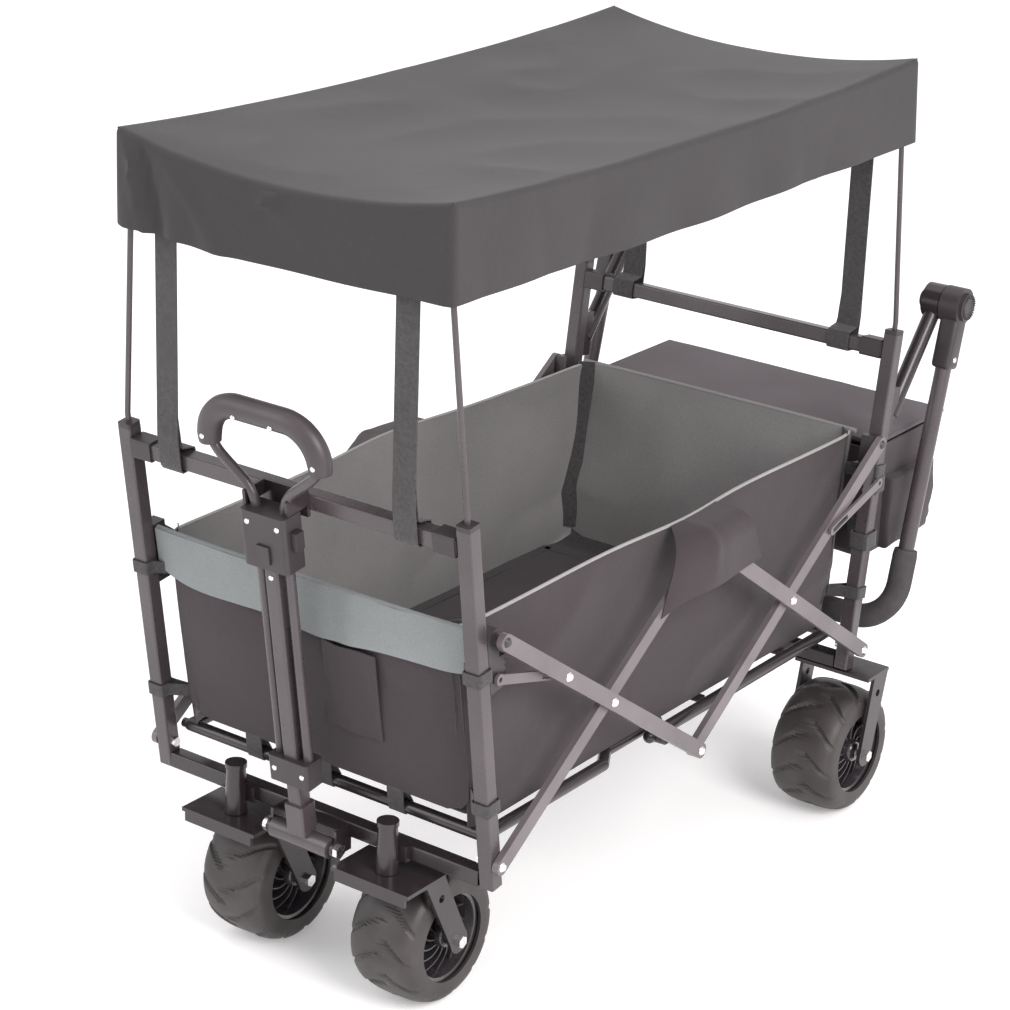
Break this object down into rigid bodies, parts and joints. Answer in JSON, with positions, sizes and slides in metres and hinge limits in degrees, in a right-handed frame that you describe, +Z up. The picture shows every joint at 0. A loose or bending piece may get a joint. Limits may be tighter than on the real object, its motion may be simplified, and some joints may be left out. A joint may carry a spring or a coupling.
{
  "type": "kids pull wagon",
  "caption": "Folding kids pull wagon with fabric tub, canopy, telescopic draw handle, swivel front wheels, fold-down push bar and rear bag.",
  "frame": {"origin": "middle of the wagon's box, on the ground", "axes": "+Z up, -Y towards the front where the draw handle is, +X to the wagon's side"},
  "size_m": [0.604, 1.2019, 1.028],
  "materials": {
    "steel": "satin powder coat",
    "bar_steel": "satin powder coat",
    "plastic": "fine grain",
    "zinc": "bright zinc",
    "tyre": "matte",
    "rim": "gloss",
    "canopy_fabric": "plain weave polyester",
    "tub_fabric": "plain weave polyester",
    "lining": "plain weave polyester",
    "webbing": "ribbed webbing",
    "foam": "matte foam",
    "grip": "satin"
  },
  "bodies": {
    "fabric": {"tub_sides": "tub_fabric", "canopy_cover": "canopy_fabric", "canopy_straps": "webbing"},
    "front_frame": {"front_posts": "steel", "front_corner_fittings": "plastic", "front_crossbar": "steel", "front_rail": "steel", "handle_clip": "plastic", "front_fasteners": "zinc", "canopy_rods_front": "steel", "tub_front_panel": "tub_fabric"},
    "lower_bars_front": {"lower_bars_front": "bar_steel"},
    "upper_bars_front": {"upper_bars_front": "bar_steel", "rivets_front": "zinc"},
    "lower_bars_rear": {"lower_bars_rear": "bar_steel", "rivets_rear": "zinc"},
    "upper_bars_rear": {"upper_bars_rear": "bar_steel"},
    "front_sliders": {"sliders_front": "plastic"},
    "rear_sliders": {"sliders_rear": "plastic"},
    "front_stays": {"stays_front": "bar_steel"},
    "rear_stays": {"stays_rear": "bar_steel"},
    "front_floor": {"floor_frame_front": "steel", "floor_panel_front": "lining"},
    "rear_floor": {"floor_frame_rear": "steel", "floor_panel_rear": "lining"},
    "rear_frame": {"rear_posts": "steel", "rear_corner_fittings": "plastic", "rear_crossbar": "steel", "rear_rail": "steel", "rear_forks": "steel", "rear_fasteners": "zinc", "canopy_rods_rear": "steel", "tub_rear_panel": "lining", "push_bar_stands": "steel", "bag_body": "tub_fabric"},
    "caster_left": {"caster_fork_left": "steel", "caster_axle_left": "zinc"},
    "caster_right": {"caster_fork_right": "steel", "caster_axle_right": "zinc"},
    "front_wheel_left": {"tyre_front_left": "tyre", "rim_front_left": "rim"},
    "front_wheel_right": {"tyre_front_right": "tyre", "rim_front_right": "rim"},
    "rear_wheel_left": {"tyre_rear_left": "tyre", "rim_rear_left": "rim"},
    "rear_wheel_right": {"tyre_rear_right": "tyre", "rim_rear_right": "rim"},
    "handle": {"handle_tube": "steel", "handle_head": "plastic"},
    "handle_grip_set": {"handle_loop": "steel", "handle_grip": "grip", "handle_bracket": "plastic"},
    "handle_release_button": {"handle_button": "plastic"},
    "handle_side_lever": {"handle_lever": "plastic"},
    "push_bar": {"push_bar_tube": "steel", "push_bar_grip": "foam", "push_bar_hinges": "plastic"},
    "push_bar_button_r": {"push_bar_button_right": "plastic"},
    "push_bar_button_l": {"push_bar_button_left": "plastic"},
    "bag_lid": {"bag_lid": "canopy_fabric"}
  },
  "joints": [
    {"name": "front_frame_tilt", "type": "hinge", "parent": "fabric", "child": "front_frame", "pos_m": [0, -0.4791, 0.238], "axis": [1, 0, 0], "range_deg": [-4.15, 0]},
    {"name": "fold", "type": "hinge", "parent": "front_frame", "child": "lower_bars_front", "pos_m": [0, -0.4791, 0.238], "axis": [1, 0, 0], "range_deg": [0, 33.94], "deforming": ["tub_sides", "canopy_cover", "canopy_straps"]},
    {"name": "front_cross", "type": "hinge", "parent": "lower_bars_front", "child": "upper_bars_front", "pos_m": [0, -0.2766, 0.37665], "axis": [1, 0, 0], "range_deg": [-60.94, 0]},
    {"name": "middle_top", "type": "hinge", "parent": "lower_bars_front", "child": "lower_bars_rear", "pos_m": [0, -0.0741, 0.51531], "axis": [1, 0, 0], "range_deg": [-60.94, 0]},
    {"name": "rear_cross", "type": "hinge", "parent": "lower_bars_rear", "child": "upper_bars_rear", "pos_m": [0, 0.1284, 0.37665], "axis": [1, 0, 0], "range_deg": [0, 60.94]},
    {"name": "rear_bottom", "type": "hinge", "parent": "lower_bars_rear", "child": "rear_frame", "pos_m": [0, 0.3309, 0.238], "axis": [1, 0, 0], "range_deg": [0, 34.62]},
    {"name": "front_slider_pivot", "type": "hinge", "parent": "upper_bars_front", "child": "front_sliders", "pos_m": [0, -0.49764, 0.528], "axis": [1, 0, 0], "range_deg": [0, 26.32]},
    {"name": "rear_slider_pivot", "type": "hinge", "parent": "upper_bars_rear", "child": "rear_sliders", "pos_m": [0, 0.34945, 0.528], "axis": [1, 0, 0], "range_deg": [-26.32, 0]},
    {"name": "front_stay_pivot", "type": "hinge", "parent": "front_sliders", "child": "front_stays", "pos_m": [0, -0.4904, 0.47651], "axis": [1, 0, 0], "range_deg": [-34.2, 0]},
    {"name": "rear_stay_pivot", "type": "hinge", "parent": "rear_sliders", "child": "rear_stays", "pos_m": [0, 0.34221, 0.47651], "axis": [1, 0, 0], "range_deg": [0, 34.2]},
    {"name": "front_floor_pivot", "type": "hinge", "parent": "front_frame", "child": "front_floor", "pos_m": [0, -0.4611, 0.258], "axis": [1, 0, 0], "range_deg": [0, 74.23]},
    {"name": "rear_floor_pivot", "type": "hinge", "parent": "rear_frame", "child": "rear_floor", "pos_m": [0, 0.3129, 0.258], "axis": [1, 0, 0], "range_deg": [-74.23, 0]},
    {"name": "caster_swivel_left", "type": "hinge", "parent": "front_frame", "child": "caster_left", "pos_m": [-0.118, -0.5011, 0.2], "axis": [0, 0, 1], "continuous": true},
    {"name": "wheel_front_left", "type": "hinge", "parent": "caster_left", "child": "front_wheel_left", "pos_m": [-0.118, -0.4331, 0.088], "axis": [1, 0, 0], "continuous": true},
    {"name": "wheel_rear_left", "type": "hinge", "parent": "rear_frame", "child": "rear_wheel_left", "pos_m": [-0.238, 0.3259, 0.088], "axis": [1, 0, 0], "continuous": true},
    {"name": "caster_swivel_right", "type": "hinge", "parent": "front_frame", "child": "caster_right", "pos_m": [0.118, -0.5011, 0.2], "axis": [0, 0, 1], "continuous": true},
    {"name": "wheel_front_right", "type": "hinge", "parent": "caster_right", "child": "front_wheel_right", "pos_m": [0.118, -0.4331, 0.088], "axis": [1, 0, 0], "continuous": true},
    {"name": "wheel_rear_right", "type": "hinge", "parent": "rear_frame", "child": "rear_wheel_right", "pos_m": [0.238, 0.3259, 0.088], "axis": [1, 0, 0], "continuous": true},
    {"name": "handle_pivot", "type": "hinge", "parent": "front_frame", "child": "handle", "pos_m": [0, -0.51411, 0.19975], "axis": [1, 0, 0], "range_deg": [0, 88]},
    {"name": "handle_telescope", "type": "slide", "parent": "handle", "child": "handle_grip_set", "axis": [0, -0.1392, 0.9903], "range_m": [0, 0.22]},
    {"name": "handle_button_press", "type": "slide", "parent": "handle", "child": "handle_release_button", "axis": [0, 0.9903, 0.1392], "range_m": [0, 0.004], "stiffness_N_per_m": 300},
    {"name": "handle_lever_press", "type": "slide", "parent": "handle", "child": "handle_side_lever", "axis": [-1, 0, 0], "range_m": [0, 0.002], "stiffness_N_per_m": 300},
    {"name": "push_bar_hinge", "type": "hinge", "parent": "rear_frame", "child": "push_bar", "pos_m": [0, 0.50723, 0.68784], "axis": [1, 0, 0], "range_deg": [0, 160]},
    {"name": "push_bar_button_right", "type": "slide", "parent": "rear_frame", "child": "push_bar_button_r", "axis": [1, 0, 0], "range_m": [0, 0.004], "stiffness_N_per_m": 300},
    {"name": "push_bar_button_left", "type": "slide", "parent": "rear_frame", "child": "push_bar_button_l", "axis": [-1, 0, 0], "range_m": [0, 0.004], "stiffness_N_per_m": 300},
    {"name": "bag_lid_hinge", "type": "hinge", "parent": "rear_frame", "child": "bag_lid", "pos_m": [0, 0.4069, 0.50425], "axis": [1, 0, 0], "range_deg": [0, 80]}
  ],
  "couplings": [
    {"joint": "front_frame_tilt", "follows": "fold", "ratio": -0.11979},
    {"joint": "front_cross", "follows": "fold", "ratio": -1.7604},
    {"joint": "middle_top", "follows": "fold", "ratio": -1.7604},
    {"joint": "rear_cross", "follows": "fold", "ratio": 1.7604},
    {"joint": "rear_bottom", "follows": "fold", "ratio": 1},
    {"joint": "front_slider_pivot", "follows": "fold", "ratio": 0.76043},
    {"joint": "rear_slider_pivot", "follows": "fold", "ratio": -0.76043},
    {"joint": "front_stay_pivot", "follows": "fold", "ratio": -0.98812},
    {"joint": "rear_stay_pivot", "follows": "fold", "ratio": 0.98812},
    {"joint": "front_floor_pivot", "follows": "fold", "ratio": 2.1443},
    {"joint": "rear_floor_pivot", "follows": "fold", "ratio": -2.1443}
  ]
}
